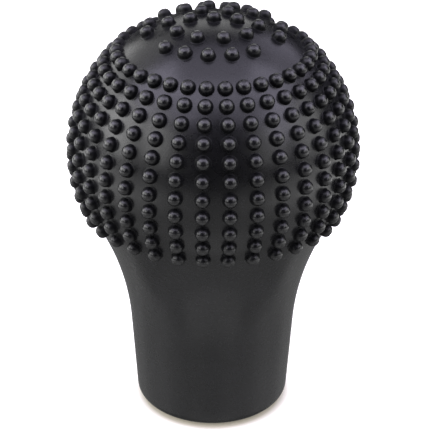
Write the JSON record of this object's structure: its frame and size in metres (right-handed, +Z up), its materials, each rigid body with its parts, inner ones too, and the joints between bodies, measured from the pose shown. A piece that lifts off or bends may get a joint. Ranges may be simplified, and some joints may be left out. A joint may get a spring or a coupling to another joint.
{
  "type": "case opening friction ball",
  "caption": "Hand tool for friction turning: a black silicone ball with moulded studs on a smooth tapering neck, stretched over a stiff two-part core and closed by a push-fit base plug.",
  "frame": {"origin": "centre of the neck's rim, on the surface that the tool stands on", "axes": "+Z up the axis of the neck and ball; -Y is the front, midway between two columns of studs"},
  "size_m": [0.0594, 0.0594, 0.0872],
  "materials": {
    "sleeve_silicone": "satin moulded silicone",
    "core_plastic": "fine moulded texture",
    "insert_brass": "turned",
    "screw_steel": "zinc plated",
    "plug_plastic": "satin moulded",
    "ring_rubber": "smooth"
  },
  "bodies": {
    "grip": {"friction_sleeve": "sleeve_silicone", "upper_core_shell": "core_plastic", "lower_core_shell": "core_plastic", "threaded_insert": "insert_brass", "tie_screw": "screw_steel", "tie_screw_washer": "screw_steel"},
    "plug": {"base_plug": "plug_plastic", "plug_o_ring": "ring_rubber"}
  },
  "joints": [
    {"name": "plug_slide", "type": "slide", "parent": "grip", "child": "plug", "axis": [0, 0, -1], "range_m": [0, 0.016]}
  ]
}
